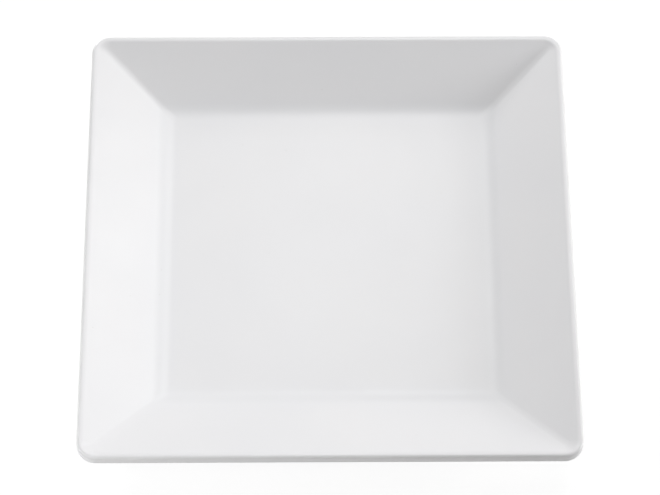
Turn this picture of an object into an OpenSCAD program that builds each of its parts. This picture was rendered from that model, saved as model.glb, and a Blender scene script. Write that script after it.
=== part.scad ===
// Square dinner plate: glazed porcelain with a level well, a sloping rim, a thick edge and a foot ring.
// One filleted outline through the wall goes round the plate as nested rounded squares.
// The fired body carries two coats of glaze, which stop half way down the sides of the foot ring.
// Millimetres, +Z up, origin on the resting plane under the middle of the plate.

/* [Plate] */
// Width across the flat sides, glaze included
plate_width = 265; // [220:1:320]
// Level distance from the body's outer face to where the rim's slope meets the well floor
rim_run = 42; // [36:0.5:50]
// Depth of the well floor below the top of the edge
well_depth = 14; // [10:0.5:18]
// Radius of the blend from the well floor into the rim
well_blend_radius = 30; // [15:5:80]
// Radius of the outer corners, seen from above
corner_radius = 10; // [8:0.5:16]
// Radius of the creases where two slopes of the rim meet, seen from above
crease_radius = 3; // [1.5:0.5:6]

/* [Edge] */
// Height of the thick edge, from its level top to its level underside
edge_height = 5.9; // [5.1:0.1:7.5]
// Width of the edge, along its level top and its level underside before they are rounded
edge_width = 2.5; // [2.4:0.1:5]
// Radius from the rim's slope onto the top of the edge
edge_blend_radius = 6; // [1.5:0.5:8]
// Radius over the outer side of the edge
edge_top_radius = 1.2; // [0.8:0.1:2]
// Radius under the outer side of the edge, and of the turn into its inner side
edge_bottom_radius = 1.2; // [0.6:0.1:1.8]
// Angle from upright of the inner side, where the edge stands out below the rim
edge_inner_lean = 50; // [30:5:60]
// Radius of the hollow between that inner side and the rim's underside
edge_hollow_radius = 1.5; // [0.5:0.5:6]

/* [Wall] */
// Thickness of the body in the rim, square to its slope
rim_thickness = 3.8; // [3.2:0.1:4.4]
// Thickness of the body under the well floor
floor_thickness = 4.6; // [3.8:0.1:6]
// Radius of the heel, where the underside of the rim turns level
heel_radius = 18; // [8:1:30]

/* [Foot] */
// Height of the foot ring
foot_height = 3.2; // [2.6:0.1:5]
// Level distance from the heel in to the foot ring
foot_setback = 8; // [7:0.5:14]
// Width of the foot ring's tip before its two edges are rounded
foot_width = 4; // [3:0.1:6]
// Lean of the foot ring's two sides
foot_lean = 8; // [2:1:15]
// Radius of the foot ring's outer corners, seen from above
foot_corner_radius = 14; // [10:0.5:24]
// Radius of the two edges of the foot ring's tip
foot_tip_radius = 1; // [0.4:0.1:1.4]
// Radius of the two hollows where the foot ring leaves the base
foot_hollow_radius = 1.4; // [0.6:0.1:2]

/* [Glaze] */
// Thickness of the glaze
glaze_thickness = 0.3; // [0.2:0.05:0.5]

/* [Smoothness] */
// Steps round each corner, seen from above
corner_steps = 6; // [4:1:10]
// Widest turn between two steps of a fillet, in degrees
fillet_turn = 18; // [15:1:30]

/* [Hidden] */
least_fillet_steps = 3;
fillet_share = 0.48; // the most of a straight that the fillet at either end of it takes
glaze_end_share = 0.5; // how far down the sides of the foot ring the glaze comes

// Levels and distances from the middle, all on the body
half_width = plate_width / 2 - glaze_thickness;
well_edge = half_width - rim_run;
edge_inside = half_width - edge_width;
floor_level = foot_height + floor_thickness;
edge_top = floor_level + well_depth;
edge_bottom = edge_top - edge_height;

// The rim slopes from the well's edge to the inner side of the edge's top, and its underside is parallel.
rim_angle = atan2(well_depth, edge_inside - well_edge);
rim_drop = rim_thickness / cos(rim_angle);
heel = well_edge + (rim_drop - floor_thickness) / tan(rim_angle);

// The edge's inner side climbs from its level underside to the rim's.
edge_climb = (edge_height - rim_drop) / (1 + tan(edge_inner_lean) * tan(rim_angle));
edge_root = edge_inside - edge_climb * tan(edge_inner_lean);

// Both sides of the foot ring draw in towards its tip.
foot_draw = foot_height * tan(foot_lean);
foot_outside = heel - foot_setback;
foot_inside = foot_outside - foot_width - 2 * foot_draw;

// Corners seen from above: the radius at a distance from the middle, and from there concentric
rim_plan = [half_width, corner_radius];
foot_plan = [foot_outside, foot_corner_radius];

// Here the rim's corners have shrunk to a crease, and they keep its radius from here inwards.
crease_start = half_width - corner_radius + crease_radius;

// The outline as [corner, fillet radius, corners seen from above], from the middle of the well over
// the edge to the middle of the base. A corner is [distance from the middle, height].
well_middle = [[0, floor_level], 0, rim_plan];
face_and_back = [
    [[well_edge, floor_level], well_blend_radius, rim_plan],
    [[edge_inside, edge_top], edge_blend_radius, rim_plan],
    [[half_width, edge_top], edge_top_radius, rim_plan],
    [[half_width, edge_bottom], edge_bottom_radius, rim_plan],
    [[edge_inside, edge_bottom], edge_bottom_radius, rim_plan],
    [[edge_root, edge_bottom + edge_climb], edge_hollow_radius, rim_plan],
    [[heel, foot_height], heel_radius, rim_plan],
    [[foot_outside, foot_height], foot_hollow_radius, foot_plan]];
foot_tip = [
    [[foot_outside - foot_draw, 0], foot_tip_radius, foot_plan],
    [[foot_inside + foot_draw, 0], foot_tip_radius, foot_plan]];
base = [
    [[foot_inside, foot_height], foot_hollow_radius, foot_plan]];
base_middle = [[0, foot_height], 0, foot_plan];
outline = concat([well_middle], face_and_back, foot_tip, base, [base_middle]);
last_before_tip = len(face_and_back);
last_of_tip = last_before_tip + len(foot_tip);

function unit(v) = v / norm(v);
function turned(v, angle) =
    [v.x * cos(angle) - v.y * sin(angle), v.x * sin(angle) + v.y * cos(angle)];

// The outline keeps the body on its right, so this is the way out of the body.
function way_out(direction) = turned(direction, 90);

// Fillet at one corner of the outline, as steps of [place, way out of the body, corners seen from above]
function fillet(i) =
    let (before = outline[i][0] - outline[i - 1][0],
         after = outline[i + 1][0] - outline[i][0],
         turn = atan2(cross(before, after), before * after),
         half_turn = abs(turn) / 2,
         room = fillet_share * min(norm(before), norm(after)),
         reach = min(outline[i][1] * tan(half_turn), room),
         arm = -sign(turn) * reach / tan(half_turn),
         first_way = way_out(unit(before)),
         centre = outline[i][0] - reach * unit(before) - arm * first_way,
         steps = max(least_fillet_steps, ceil(abs(turn) / fillet_turn)))
    [for (step = [0 : steps])
        let (way = turned(first_way, turn * step / steps))
        [centre + arm * way, way, outline[i][2]]];

function last(list) = list[len(list) - 1];

// Step on the straight between two others, at a share of the way
function between(from, to, share) =
    [from[0] + share * (to[0] - from[0]), from[1], from[2]];

// Step where the corners have shrunk to a crease, if that is on the straight between these two
function crease_step(from, to) =
    [if ((crease_start - from[0].x) * (crease_start - to[0].x) < 0)
        between(from, to, (crease_start - from[0].x) / (to[0].x - from[0].x))];

face_and_back_steps = concat(
    [for (i = [1 : last_before_tip])
        each concat(fillet(i), crease_step(last(fillet(i)), fillet(i + 1)[0]))],
    [between(last(fillet(last_before_tip)), fillet(last_before_tip + 1)[0], glaze_end_share)]);
foot_tip_steps = [for (i = [last_before_tip + 1 : last_of_tip]) each fillet(i)];
base_steps = concat(
    [between(fillet(last_of_tip + 1)[0], last(fillet(last_of_tip)), glaze_end_share)],
    [for (i = [last_of_tip + 1 : len(outline) - 2]) each fillet(i)]);

// Rounded square of the given half width and corner radius, at one height
function rounded_square(half, radius, height) =
    [for (quarter = [0 : 3], step = [0 : corner_steps])
        let (diagonal = turned([half - radius, half - radius], 90 * quarter),
             corner_point = turned([radius, 0], 90 * (quarter + step / corner_steps)))
        [diagonal.x + corner_point.x, diagonal.y + corner_point.y, height]];

// One rounded square for each step, moved out of the body by the thickness of a coat
function rings(steps, coat) =
    [for (step = steps)
        let (place = step[0] + coat * step[1],
             plan = step[2],
             radius = max(plan[1] - plan[0] + step[0].x, crease_radius))
        rounded_square(place.x, radius + coat * step[1].x, place.y)];

function backwards(list) = [for (i = [len(list) - 1 : -1 : 0]) list[i]];

// Solid through a row of rings, closed by a level face across the first and the last
module loft(rings) {
    count = len(rings[0]);
    sides = [for (ring = [1 : len(rings) - 1], i = [0 : count - 1])
        let (next = (i + 1) % count,
             start = (ring - 1) * count,
             end = ring * count)
        [start + i, start + next, end + next, end + i]];
    first_face = [for (i = [0 : count - 1]) count - 1 - i];
    last_face = [for (i = [0 : count - 1]) (len(rings) - 1) * count + i];
    polyhedron([for (ring = rings) each ring], concat([first_face, last_face], sides), convexity = 6);
}

// The fired body, bare where it stands
module porcelain_body() {
    color([0.93, 0.91, 0.87])
    loft(rings(concat(face_and_back_steps, foot_tip_steps, base_steps), 0));
}

// Coat over the well, rim, edge and back, down the outer side of the foot ring
module main_glaze() {
    color([0.95, 0.95, 0.96])
    loft(concat(rings(face_and_back_steps, glaze_thickness), backwards(rings(face_and_back_steps, 0))));
}

// Coat over the base inside the foot ring
module base_glaze() {
    color([0.95, 0.95, 0.96])
    loft(concat(backwards(rings(base_steps, 0)), rings(base_steps, glaze_thickness)));
}

porcelain_body();
main_glaze();
base_glaze();
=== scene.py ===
# Square dinner plate in glazed white porcelain, dressed over its CAD frame. Metres, +Z up.
from math import atan2, ceil, copysign, cos, radians, sin, tan

import bpy
from mathutils import Matrix, Vector


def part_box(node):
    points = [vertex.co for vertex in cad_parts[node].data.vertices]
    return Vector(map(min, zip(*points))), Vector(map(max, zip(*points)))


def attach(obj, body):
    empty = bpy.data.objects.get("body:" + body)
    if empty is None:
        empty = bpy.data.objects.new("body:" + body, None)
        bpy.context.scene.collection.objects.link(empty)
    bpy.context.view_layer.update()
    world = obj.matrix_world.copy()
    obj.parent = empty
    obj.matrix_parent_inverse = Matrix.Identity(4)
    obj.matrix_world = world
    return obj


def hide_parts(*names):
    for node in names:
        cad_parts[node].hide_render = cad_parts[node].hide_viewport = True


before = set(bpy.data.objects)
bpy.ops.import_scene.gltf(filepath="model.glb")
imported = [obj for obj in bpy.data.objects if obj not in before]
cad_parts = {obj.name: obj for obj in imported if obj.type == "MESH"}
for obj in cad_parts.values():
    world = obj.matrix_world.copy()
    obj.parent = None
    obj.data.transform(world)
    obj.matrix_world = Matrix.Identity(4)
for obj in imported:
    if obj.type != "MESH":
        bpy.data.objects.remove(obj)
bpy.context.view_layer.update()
MM = 0.001

# Sizes that the frame gives, from the far upper corners of two boxes
glazed_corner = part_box("main_glaze")[1]
body_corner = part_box("porcelain_body")[1]
GLAZE = glazed_corner[0] - body_corner[0]
HALF_WIDTH = body_corner[0]
EDGE_TOP = body_corner[2]

# Sizes of the fired body that the part's source also names
RIM_RUN = 42 * MM
WELL_DEPTH = 14 * MM
WELL_BLEND_RADIUS = 30 * MM
CORNER_RADIUS = 10 * MM
CREASE_RADIUS = 3 * MM
EDGE_HEIGHT = 5.9 * MM
EDGE_WIDTH = 2.5 * MM
EDGE_BLEND_RADIUS = 6 * MM
EDGE_TOP_RADIUS = 1.2 * MM
EDGE_BOTTOM_RADIUS = 1.2 * MM
EDGE_INNER_LEAN = radians(50)
EDGE_HOLLOW_RADIUS = 1.5 * MM
RIM_THICKNESS = 3.8 * MM
HEEL_RADIUS = 18 * MM
FOOT_HEIGHT = 3.2 * MM
FOOT_SETBACK = 8 * MM
FOOT_WIDTH = 4 * MM
FOOT_LEAN = radians(8)
FOOT_CORNER_RADIUS = 14 * MM
FOOT_TIP_RADIUS = 1 * MM
FOOT_HOLLOW_RADIUS = 1.4 * MM

# Places that follow from those sizes
WELL_EDGE = HALF_WIDTH - RIM_RUN
EDGE_INSIDE = HALF_WIDTH - EDGE_WIDTH
FLOOR_LEVEL = EDGE_TOP - WELL_DEPTH
EDGE_BOTTOM = EDGE_TOP - EDGE_HEIGHT
RIM_ANGLE = atan2(WELL_DEPTH, EDGE_INSIDE - WELL_EDGE)
RIM_DROP = RIM_THICKNESS / cos(RIM_ANGLE)
HEEL = WELL_EDGE + (RIM_DROP - FLOOR_LEVEL + FOOT_HEIGHT) / tan(RIM_ANGLE)
EDGE_CLIMB = (EDGE_HEIGHT - RIM_DROP) / (1 + tan(EDGE_INNER_LEAN) * tan(RIM_ANGLE))
EDGE_ROOT = EDGE_INSIDE - EDGE_CLIMB * tan(EDGE_INNER_LEAN)
FOOT_DRAW = FOOT_HEIGHT * tan(FOOT_LEAN)
FOOT_OUTSIDE = HEEL - FOOT_SETBACK
FOOT_INSIDE = FOOT_OUTSIDE - FOOT_WIDTH - 2 * FOOT_DRAW
CREASE_START = HALF_WIDTH - CORNER_RADIUS + CREASE_RADIUS

# The most of a straight that the fillet at either end of it takes
FILLET_SHARE = 0.48
# How far down the sides of the foot ring the glaze comes
GLAZE_END_SHARE = 0.5

# How finely the surfaces are stepped, and how close two points are merged
FILLET_TURN = radians(5)
LEAST_FILLET_STEPS = 6
CORNER_STEPS = 18
MERGE = 0.001 * MM

# The outline as (corner, fillet radius, corners seen from above), from the middle of the well over
# the edge to the middle of the base. A corner is (distance from the middle, height).
RIM_PLAN = (HALF_WIDTH, CORNER_RADIUS)
FOOT_PLAN = (FOOT_OUTSIDE, FOOT_CORNER_RADIUS)
OUTLINE = [
    ((0, FLOOR_LEVEL), 0, RIM_PLAN),
    ((WELL_EDGE, FLOOR_LEVEL), WELL_BLEND_RADIUS, RIM_PLAN),
    ((EDGE_INSIDE, EDGE_TOP), EDGE_BLEND_RADIUS, RIM_PLAN),
    ((HALF_WIDTH, EDGE_TOP), EDGE_TOP_RADIUS, RIM_PLAN),
    ((HALF_WIDTH, EDGE_BOTTOM), EDGE_BOTTOM_RADIUS, RIM_PLAN),
    ((EDGE_INSIDE, EDGE_BOTTOM), EDGE_BOTTOM_RADIUS, RIM_PLAN),
    ((EDGE_ROOT, EDGE_BOTTOM + EDGE_CLIMB), EDGE_HOLLOW_RADIUS, RIM_PLAN),
    ((HEEL, FOOT_HEIGHT), HEEL_RADIUS, RIM_PLAN),
    ((FOOT_OUTSIDE, FOOT_HEIGHT), FOOT_HOLLOW_RADIUS, FOOT_PLAN),
    ((FOOT_OUTSIDE - FOOT_DRAW, 0), FOOT_TIP_RADIUS, FOOT_PLAN),
    ((FOOT_INSIDE + FOOT_DRAW, 0), FOOT_TIP_RADIUS, FOOT_PLAN),
    ((FOOT_INSIDE, FOOT_HEIGHT), FOOT_HOLLOW_RADIUS, FOOT_PLAN),
    ((0, FOOT_HEIGHT), 0, FOOT_PLAN),
]
FIRST_FILLET = 1
LAST_BEFORE_TIP = 8
LAST_OF_TIP = 10
LAST_FILLET = 11


def straight(i):
    """Length and direction from one corner of the outline to the next."""
    run = Vector(OUTLINE[i + 1][0]) - Vector(OUTLINE[i][0])
    return run.length, run.normalized()


def way_out(direction):
    """The outline keeps the body on its right, so this is the way out of the body."""
    return Vector((-direction.y, direction.x))


def fillet(i):
    """Steps round the fillet at one corner, as (place, way out of body, corners seen from above)."""
    corner, radius, plan = OUTLINE[i]
    (length_before, before), (length_after, after) = straight(i - 1), straight(i)
    turn = atan2(before.x * after.y - before.y * after.x, before.dot(after))
    room = FILLET_SHARE * min(length_before, length_after)
    reach = min(radius * tan(abs(turn) / 2), room)
    arm = -copysign(reach / tan(abs(turn) / 2), turn)
    first_way = way_out(before)
    centre = Vector(corner) - reach * before - arm * first_way
    steps = max(LEAST_FILLET_STEPS, ceil(abs(turn) / FILLET_TURN))
    ways = [Matrix.Rotation(turn * step / steps, 2) @ first_way for step in range(steps + 1)]
    return [(centre + arm * way, way, plan) for way in ways]


def between(one, other, share):
    """Step on the straight between two others, at a share of the way."""
    return one[0].lerp(other[0], share), one[1], one[2]


def crease_step(one, other):
    """Step where the corners have shrunk to a crease, if that is on the straight between these two."""
    start, end = one[0].x, other[0].x
    if (CREASE_START - start) * (CREASE_START - end) < 0:
        return [between(one, other, (CREASE_START - start) / (end - start))]
    return []


def fillets(first, last):
    """Steps from the start of one fillet to the end of another."""
    steps = fillet(first)
    for i in range(first + 1, last + 1):
        following = fillet(i)
        steps += crease_step(steps[-1], following[0]) + following
    return steps


def rings(steps, coat):
    """Rounded squares, one a step, as (half width, height, corner radius), moved out by a coat."""
    squares = []
    for place, way, plan in steps:
        moved = place + coat * way
        radius = max(plan[1] - plan[0] + place.x, CREASE_RADIUS)
        squares.append((moved.x, moved.y, radius + coat * way.x))
    return squares


def select_where(piece, wanted):
    """Selects the points of the piece for which wanted(place) holds, and leaves it in edit mode."""
    if piece.mode == "EDIT":
        bpy.ops.object.mode_set(mode="OBJECT")
    mesh = piece.data
    mesh.polygons.foreach_set("select", [False] * len(mesh.polygons))
    mesh.edges.foreach_set("select", [False] * len(mesh.edges))
    mesh.vertices.foreach_set("select", [wanted(point.co) for point in mesh.vertices])
    bpy.ops.object.mode_set(mode="EDIT")
    bpy.ops.mesh.select_mode(type="VERT")


def quarter_panel(name, half, height, radius):
    """A quarter of a level panel with a round corner, under mirrors that show the other three."""
    bpy.ops.object.select_all(action="DESELECT")
    bpy.ops.mesh.primitive_plane_add(size=half, location=(half / 2, half / 2, height))
    piece = bpy.context.object
    piece.name = piece.data.name = name
    bpy.ops.object.transform_apply(location=True, rotation=True, scale=True)

    # The mirrors hold the open ends of every ring on the two planes of symmetry
    mirrors = piece.modifiers.new("quarters", "MIRROR")
    mirrors.use_axis = (True, True, False)
    mirrors.use_clip = True
    mirrors.merge_threshold = MERGE
    select_where(piece, lambda place: min(place.x, place.y) > half / 2)
    bpy.ops.mesh.bevel(offset=radius, offset_type="OFFSET", segments=CORNER_STEPS, affect="VERTICES")
    return piece


def extrude_through(piece, squares):
    """Carries the panel's border from the first rounded square through all the others."""
    half, height, radius = squares[0]
    select_where(piece, lambda place: max(place.x, place.y) > half / 2)
    for next_half, next_height, next_radius in squares[1:]:
        shift = next_half - next_radius - half + radius
        move = {"value": (shift, shift, next_height - height)}
        bpy.ops.mesh.extrude_edges_move(TRANSFORM_OT_translate=move)
        turning_point = (next_half - next_radius, next_half - next_radius, next_height)
        growth = next_radius / radius
        bpy.ops.transform.resize(value=(growth, growth, 1), center_override=turning_point)
        half, height, radius = next_half, next_height, next_radius


def close_under():
    """Closes the last ring of the piece in edit mode with a level face."""
    bpy.ops.mesh.select_all(action="DESELECT")
    bpy.ops.mesh.select_mode(type="EDGE")
    bpy.ops.mesh.select_non_manifold(
        extend=False, use_wire=False, use_multi_face=False, use_verts=False)
    bpy.ops.mesh.edge_face_add()


def swept_skin(name, squares, closed_under=False, facing_down=False):
    """Skin through a row of rounded squares, from a level panel within the first of them."""
    piece = quarter_panel(name, *squares[0])
    extrude_through(piece, squares)
    bpy.ops.object.mode_set(mode="OBJECT")
    bpy.ops.object.modifier_apply(modifier="quarters")

    bpy.ops.object.mode_set(mode="EDIT")
    bpy.ops.mesh.select_all(action="SELECT")
    bpy.ops.mesh.remove_doubles(threshold=MERGE)
    if closed_under:
        close_under()
        bpy.ops.mesh.select_all(action="SELECT")
    bpy.ops.mesh.normals_make_consistent(inside=facing_down)
    bpy.ops.object.mode_set(mode="OBJECT")
    bpy.ops.object.shade_smooth()
    return piece


def finish_modifier(piece, name, kind, **settings):
    """Adds a modifier with these settings and applies it."""
    modifier = piece.modifiers.new(name, kind)
    for setting, value in settings.items():
        setattr(modifier, setting, value)
    bpy.ops.object.modifier_apply(modifier=name)


def even_shading(piece):
    """Turns the shading of the fillets towards the broad faces beside them."""
    finish_modifier(piece, "even shading", "WEIGHTED_NORMAL", weight=100, keep_sharp=True)


def coat_of_glaze(name, squares, facing_down=False):
    """Coat with its outer face through these squares, as thick as the glaze towards the body."""
    piece = swept_skin(name, squares, facing_down=facing_down)
    finish_modifier(piece, "glaze thickness", "SOLIDIFY",
                    thickness=GLAZE, offset=-1, use_even_offset=True)
    even_shading(piece)
    return piece


outer_side_of_foot = between(
    fillet(LAST_BEFORE_TIP)[-1], fillet(LAST_BEFORE_TIP + 1)[0], GLAZE_END_SHARE)
face_and_back = fillets(FIRST_FILLET, LAST_BEFORE_TIP) + [outer_side_of_foot]
main_glaze = coat_of_glaze("smooth_main_glaze", rings(face_and_back, GLAZE))

inner_side_of_foot = between(fillet(LAST_FILLET)[0], fillet(LAST_OF_TIP)[-1], GLAZE_END_SHARE)
base = fillet(LAST_FILLET)[::-1] + [inner_side_of_foot]
base_glaze = coat_of_glaze("smooth_base_glaze", rings(base, GLAZE), facing_down=True)

whole_outline = rings(fillets(FIRST_FILLET, LAST_FILLET), 0)
fired_body = swept_skin("smooth_porcelain_body", whole_outline, closed_under=True)
even_shading(fired_body)

for piece, node, slot in (
        (main_glaze, "main_glaze", "white_glaze"),
        (base_glaze, "base_glaze", "white_glaze"),
        (fired_body, "porcelain_body", "fired_porcelain")):
    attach(piece, "root")
    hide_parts(node)


# Materials

# Colours of the glaze
GLAZE_WHITE = (0.836, 0.832, 0.840, 1)
CLOUDED_WHITE = (0.824, 0.822, 0.834, 1)
POOLED_GLAZE = (0.811, 0.818, 0.839, 1)
THIN_GLAZE = (0.838, 0.828, 0.818, 1)
PINHOLE = (0.55, 0.53, 0.50, 1)

# Colours of the bare fired porcelain
FIRED_WHITE = (0.78, 0.75, 0.69, 1)
CLOUDED_FIRED = (0.72, 0.68, 0.61, 1)
GLAZE_BORDER = (0.68, 0.60, 0.50, 1)
RUBBED_GREY = (0.42, 0.41, 0.39, 1)
DARK_GRAIN = (0.30, 0.26, 0.22, 1)

# Reach of the thin glaze in from the plate's side, and of the pooled glaze round the well's edge
THIN_GLAZE_REACH = 1.5 * MM
POOLED_GLAZE_REACH = 14 * MM

# Places of the colour sockets on Blender's Mix node
MIX_FACTOR, MIX_NONE, MIX_FULL, MIX_RESULT = 0, 6, 7, 2


class Wire:
    """A wire from a socket of a shader node. Maths written on wires adds the nodes for it."""

    def __init__(self, tree, socket):
        self.tree = tree
        self.socket = socket

    def node(self, kind, sockets, output=0, **settings):
        """Adds a node: its settings first, then the value or the wire of each socket."""
        made = self.tree.nodes.new(kind)
        for setting, value in settings.items():
            setattr(made, setting, value)
        for name, value in sockets.items():
            if isinstance(value, Wire):
                self.tree.links.new(value.socket, made.inputs[name])
            else:
                made.inputs[name].default_value = value
        return Wire(self.tree, made.outputs[output])

    def maths(self, operation, *values):
        return self.node("ShaderNodeMath", dict(enumerate(values)), operation=operation)

    def __add__(self, other):
        return self.maths("ADD", self, other)

    def __sub__(self, other):
        return self.maths("SUBTRACT", self, other)

    def __rsub__(self, other):
        return self.maths("SUBTRACT", other, self)

    def __mul__(self, other):
        return self.maths("MULTIPLY", self, other)

    def __abs__(self):
        return self.maths("ABSOLUTE", self)

    __radd__ = __add__
    __rmul__ = __mul__

    def rising(self, start, end):
        """0 at start, 1 at end and smooth between them."""
        return self.node("ShaderNodeMapRange", {"Value": self, "From Min": start, "From Max": end},
                         interpolation_type="SMOOTHSTEP")

    def blend(self, at_none, at_full):
        """One colour where this wire is 0 and another where it is 1."""
        sockets = {MIX_FACTOR: self, MIX_NONE: at_none, MIX_FULL: at_full}
        return self.node("ShaderNodeMix", sockets, output=MIX_RESULT, data_type="RGBA")

    def feeds(self, shader, name):
        self.tree.links.new(self.socket, shader.inputs[name])


def place_on_object(tree):
    """Wire of the place on the object, in its own coordinates."""
    return Wire(tree, tree.nodes.new("ShaderNodeTexCoord").outputs["Object"])


def new_material(name):
    """Material, its surface shader and a wire of the place on the object."""
    material = bpy.data.materials.new(name)
    material.use_nodes = True
    tree = material.node_tree
    return material, tree.nodes["Principled BSDF"], place_on_object(tree)


def mottle(place, size):
    """Soft noise from 0 to 1, with features of about the given size."""
    return place.node("ShaderNodeTexNoise", {"Vector": place, "Scale": 1 / size})


def clouds(place, size):
    """Soft patches of about the given size, with more contrast than plain noise."""
    return mottle(place, size).rising(0.3, 0.7)


def spots(place, spacing, radius):
    """Small round spots here and there, 1 in their core."""
    distance = place.node("ShaderNodeTexVoronoi", {"Vector": place, "Scale": 1 / spacing})
    core = 0.4 * radius
    return distance.rising(radius / spacing, core / spacing)


def along(place, axis):
    """The place's distance from the origin along axis 0, 1 or 2."""
    return place.node("ShaderNodeSeparateXYZ", {"Vector": place}, output=axis)


def reach_of(place):
    """Half the width of the square about the middle, seen from above, that passes through the place."""
    return place.maths("MAXIMUM", abs(along(place, 0)), abs(along(place, 1)))


def bumped(shader, relief_mm):
    """Gives the surface a relief, in millimetres."""
    relief_mm.node("ShaderNodeBump", {"Height": relief_mm, "Distance": MM}).feeds(shader, "Normal")


def glaze_finish():
    """Glossy white glaze: faint waves, thin on the edge, pooled round the well, a few pinholes."""
    material, shader, place = new_material("glossy_white_glaze")
    reach = reach_of(place)
    on_edge = reach.rising(HALF_WIDTH - THIN_GLAZE_REACH, HALF_WIDTH)
    pooled = abs(reach - WELL_EDGE).rising(POOLED_GLAZE_REACH, 0)
    pinholes = spots(place, spacing=11 * MM, radius=0.35 * MM)

    tone = clouds(place, size=60 * MM).blend(CLOUDED_WHITE, GLAZE_WHITE)
    tone = (pooled * 0.3).blend(tone, POOLED_GLAZE)
    tone = (on_edge * 0.4).blend(tone, THIN_GLAZE)
    tone = (pinholes * 0.5).blend(tone, PINHOLE)
    tone.feeds(shader, "Base Color")

    (0.29 + 0.06 * mottle(place, size=25 * MM) + 0.2 * pinholes).feeds(shader, "Roughness")
    waves = 0.03 * mottle(place, size=9 * MM) + 0.006 * mottle(place, size=1.8 * MM)
    bumped(shader, waves - 0.05 * pinholes)
    return material


def fired_finish():
    """Bare fired porcelain: gritty, warm, with dark grains, and rubbed grey where it stands."""
    material, shader, place = new_material("bare_fired_porcelain")
    height = along(place, 2)
    grains = spots(place, spacing=2.2 * MM, radius=0.22 * MM)
    rubbed = height.rising(0.5 * MM, 0) * mottle(place, size=5 * MM).rising(0.35, 0.6)
    by_the_glaze = height.rising(0.3 * FOOT_HEIGHT, 0.5 * FOOT_HEIGHT)

    tone = clouds(place, size=12 * MM).blend(CLOUDED_FIRED, FIRED_WHITE)
    tone = (by_the_glaze * 0.5).blend(tone, GLAZE_BORDER)
    tone = (rubbed * 0.55).blend(tone, RUBBED_GREY)
    tone = (grains * 0.7).blend(tone, DARK_GRAIN)
    tone.feeds(shader, "Base Color")

    (0.88 - 0.25 * rubbed).feeds(shader, "Roughness")
    grit = 0.06 * mottle(place, size=0.6 * MM) + 0.03 * mottle(place, size=2.5 * MM)
    bumped(shader, grit - 0.03 * grains)
    return material


glaze_material = glaze_finish()
fired_material = fired_finish()
main_glaze.data.materials.append(glaze_material)
base_glaze.data.materials.append(glaze_material)
fired_body.data.materials.append(fired_material)


# Floor, light and camera

# The floor is grey to the light, and shows as a darker grey that takes the shadow, under a glow
FLOOR_WIDTH = 8
FLOOR_GREY = (0.8, 0.8, 0.8, 1)
SHADOW_GREY = (0.2, 0.2, 0.2, 1)
GLOW_BY_THE_PLATE = (0.88, 0.88, 0.88, 1)
WHITE = (1, 1, 1, 1)
LAMPS_FADE_FROM = 0.3
LAMPS_FADE_TO = 0.9


def showing(tree):
    """1 for rays that show the background, straight, mirrored or through glass, and 0 for light."""
    rays = tree.nodes.new("ShaderNodeLightPath").outputs
    shown = Wire(tree, rays["Is Camera Ray"])
    for kind in ("Is Glossy Ray", "Is Transmission Ray"):
        shown = shown.maths("MAXIMUM", shown, Wire(tree, rays[kind]))
    return shown


def pale_floor():
    """Floor that shows white, with a faint shadow of the plate."""
    bpy.ops.object.select_all(action="DESELECT")
    bpy.ops.mesh.primitive_plane_add(size=FLOOR_WIDTH, location=(0, 0, 0))
    floor = bpy.context.object
    floor.name = "floor"
    material = bpy.data.materials.new("pale_floor")
    material.use_nodes = True
    tree = material.node_tree
    tree.nodes.clear()
    place = place_on_object(tree)
    floor_card = place.node("ShaderNodeBsdfDiffuse", {"Color": FLOOR_GREY})
    shadow_card = place.node("ShaderNodeBsdfDiffuse", {"Color": SHADOW_GREY})

    # Further out the lamps fade, and the glow alone is white
    far_off = reach_of(place).rising(LAMPS_FADE_FROM, LAMPS_FADE_TO)
    glow = place.node("ShaderNodeEmission", {"Color": far_off.blend(GLOW_BY_THE_PLATE, WHITE)})
    shown_floor = place.node("ShaderNodeAddShader", {0: shadow_card, 1: glow})
    surface = place.node("ShaderNodeMixShader", {0: showing(tree), 1: floor_card, 2: shown_floor})
    surface.feeds(tree.nodes.new("ShaderNodeOutputMaterial"), "Surface")
    floor.data.materials.append(material)


def softbox(name, azimuth, elevation, distance, width, power):
    """Square light that faces the plate. Its azimuth is clockwise from the back, seen from above."""
    turn, climb = radians(azimuth), radians(elevation)
    place = distance * Vector((cos(climb) * sin(turn), cos(climb) * cos(turn), sin(climb)))
    lamp = bpy.data.lights.new(name, "AREA")
    lamp.size = width
    lamp.energy = power
    light = bpy.data.objects.new(name, lamp)
    light.location = place
    light.rotation_euler = place.to_track_quat("Z", "Y").to_euler()
    bpy.context.scene.collection.objects.link(light)


def white_background():
    """Background beyond the floor: white where it shows or is mirrored, and dark as a light."""
    world = bpy.data.worlds.new("studio")
    world.use_nodes = True
    background = world.node_tree.nodes["Background"]
    background.inputs["Color"].default_value = WHITE
    showing(world.node_tree).feeds(background, "Strength")
    bpy.context.scene.world = world


# The photograph's viewing angle, worked out from the plate's outline and creases in the picture
PICTURE_WIDTH = 660
SENSOR_WIDTH = 36.0
FOCAL_PIXELS = 2900
CAMERA_DISTANCE = 1571.3 * MM
CAMERA_ELEVATION = radians(59.84)
CAMERA_AZIMUTH = radians(-0.79)
CAMERA_ROLL = radians(0.46)
LOOKED_AT = Vector((0.69 * MM, -6.05 * MM, EDGE_TOP + GLAZE))
NEAREST_SEEN = 0.1
FARTHEST_SEEN = 20


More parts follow.
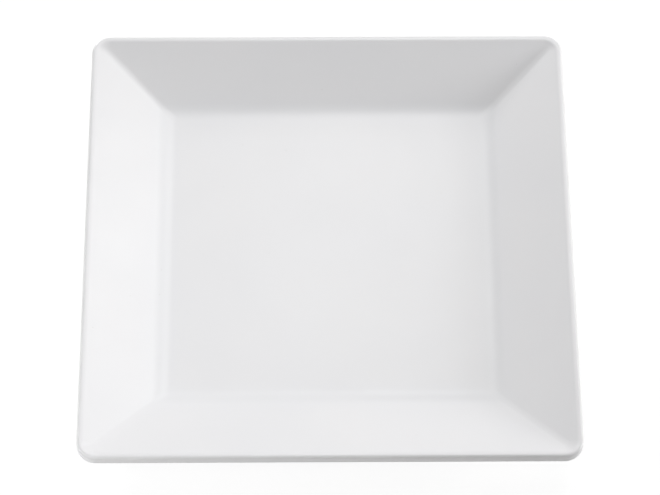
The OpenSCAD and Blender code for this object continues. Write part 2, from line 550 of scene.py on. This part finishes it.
def camera():
    """Camera at the photograph's viewing angle."""
    level = cos(CAMERA_ELEVATION)
    climb = sin(CAMERA_ELEVATION)
    forward = Vector((-level * sin(CAMERA_AZIMUTH), level * cos(CAMERA_AZIMUTH), -climb))
    level_right = forward.cross(Vector((0, 0, 1))).normalized()
    right = Matrix.Rotation(-CAMERA_ROLL, 3, forward) @ level_right
    up = right.cross(forward)
    data = bpy.data.cameras.new("camera")
    data.sensor_width = SENSOR_WIDTH
    data.lens = FOCAL_PIXELS * SENSOR_WIDTH / PICTURE_WIDTH
    data.clip_start = NEAREST_SEEN
    data.clip_end = FARTHEST_SEEN
    seen_from = bpy.data.objects.new("camera", data)
    axes = Matrix((right, up, -forward)).transposed().to_4x4()
    seen_from.matrix_world = Matrix.Translation(LOOKED_AT - CAMERA_DISTANCE * forward) @ axes
    bpy.context.scene.collection.objects.link(seen_from)
    bpy.context.scene.camera = seen_from


# Each light's name, azimuth and elevation in degrees, distance and width in metres, power in watts
LAMP_FAR = 1.4
LAMP_NEAR = 0.7
LAMPS = [
    ("back_by_left_low", 330, 15, LAMP_FAR, 0.2, 7.16),
    ("right_lowest", 90, 10, LAMP_FAR, 0.2, 6.35),
    ("front_left_middle_near", 240, 35, LAMP_NEAR, 0.35, 1.21),
    ("back_high", 5, 60, LAMP_FAR, 0.4, 3.34),
    ("front_by_left_middle_near", 210, 35, LAMP_NEAR, 0.35, 0.79),
    ("right_low", 90, 15, LAMP_FAR, 0.2, 3.09),
    ("back_right_middle", 50, 47, LAMP_FAR, 0.5, 3.07),
    ("back_right_low", 60, 12, LAMP_FAR, 0.55, 2.66),
    ("front_by_left_low_near", 210, 12, LAMP_NEAR, 0.27, 0.39),
    ("back_by_right_middle", 38, 49, LAMP_FAR, 0.2, 1.52),
    ("back_by_left_middle", 330, 35, LAMP_FAR, 0.7, 1.05),
    ("back_middle", 5, 30, LAMP_FAR, 0.2, 0.91),
    ("back_by_right_high", 20, 57, LAMP_FAR, 0.3, 0.20),
]
pale_floor()
for lamp in LAMPS:
    softbox(*lamp)
white_background()
camera()
bpy.context.scene.view_settings.view_transform = "Standard"
